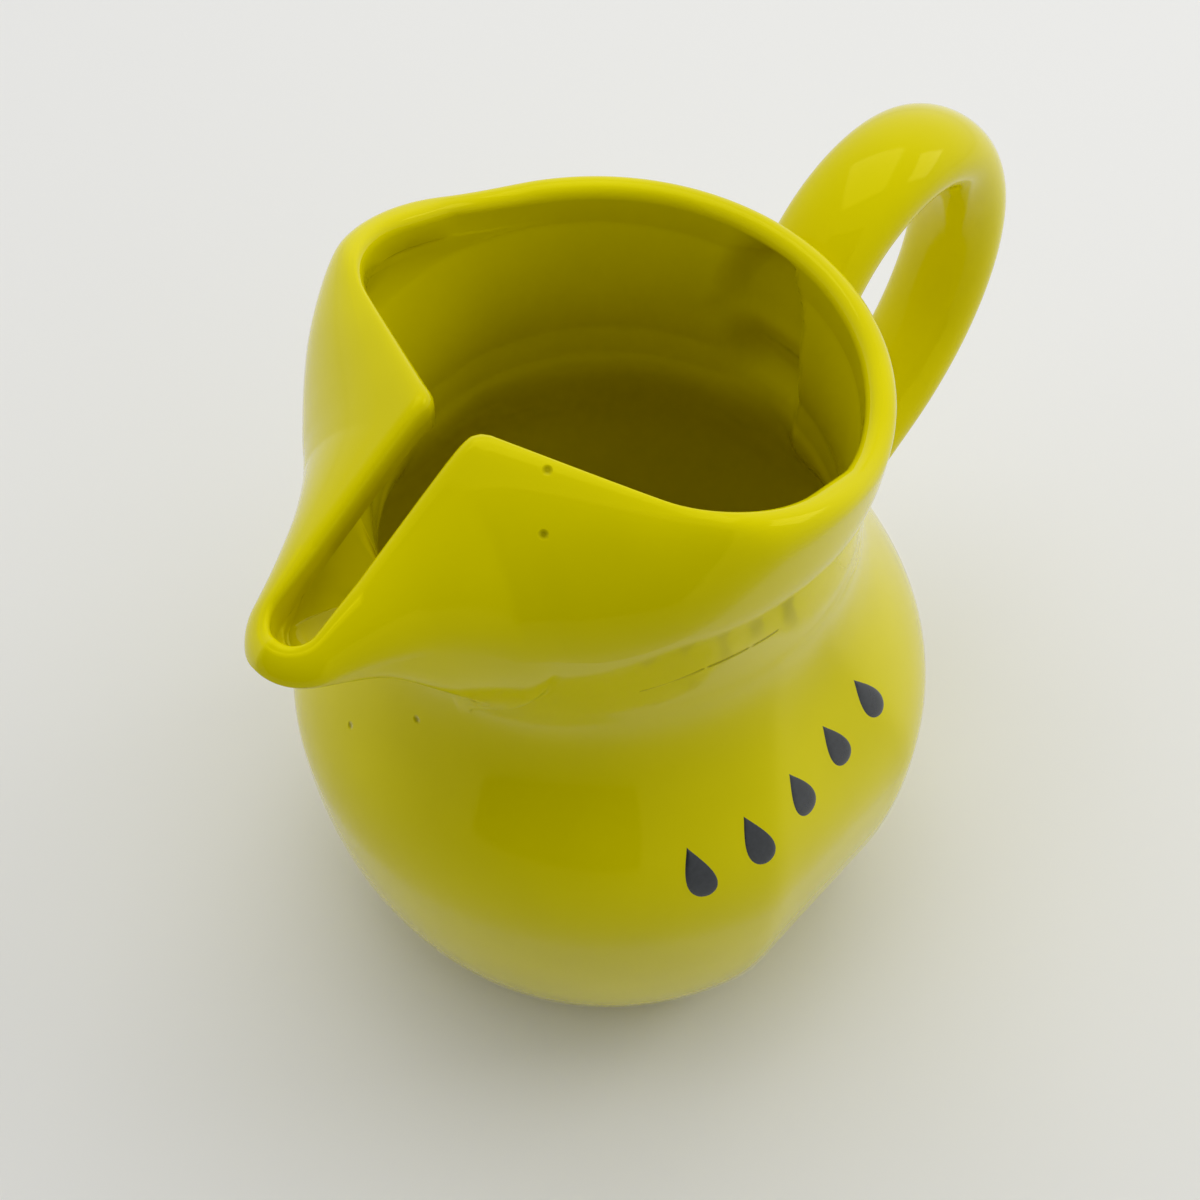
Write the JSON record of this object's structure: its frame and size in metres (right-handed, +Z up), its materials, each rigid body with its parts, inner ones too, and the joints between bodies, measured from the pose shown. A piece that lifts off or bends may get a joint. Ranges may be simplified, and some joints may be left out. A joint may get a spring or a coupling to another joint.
{
  "type": "syrup jug",
  "caption": "Glazed ceramic jug with a bulging belly flattened at the sides, a short collar, a slotted pouring spout and a loop handle",
  "frame": {"origin": "centre of the foot, on the plane the jug stands on", "axes": "+Z up, +X towards the handle, -X towards the spout; the jug is symmetric about the XZ plane"},
  "size_m": [0.2025, 0.1272, 0.1763],
  "materials": {
    "glaze": "glossy chartreuse glaze"
  },
  "bodies": {
    "root": {"jug": "glaze"}
  },
  "joints": []
}
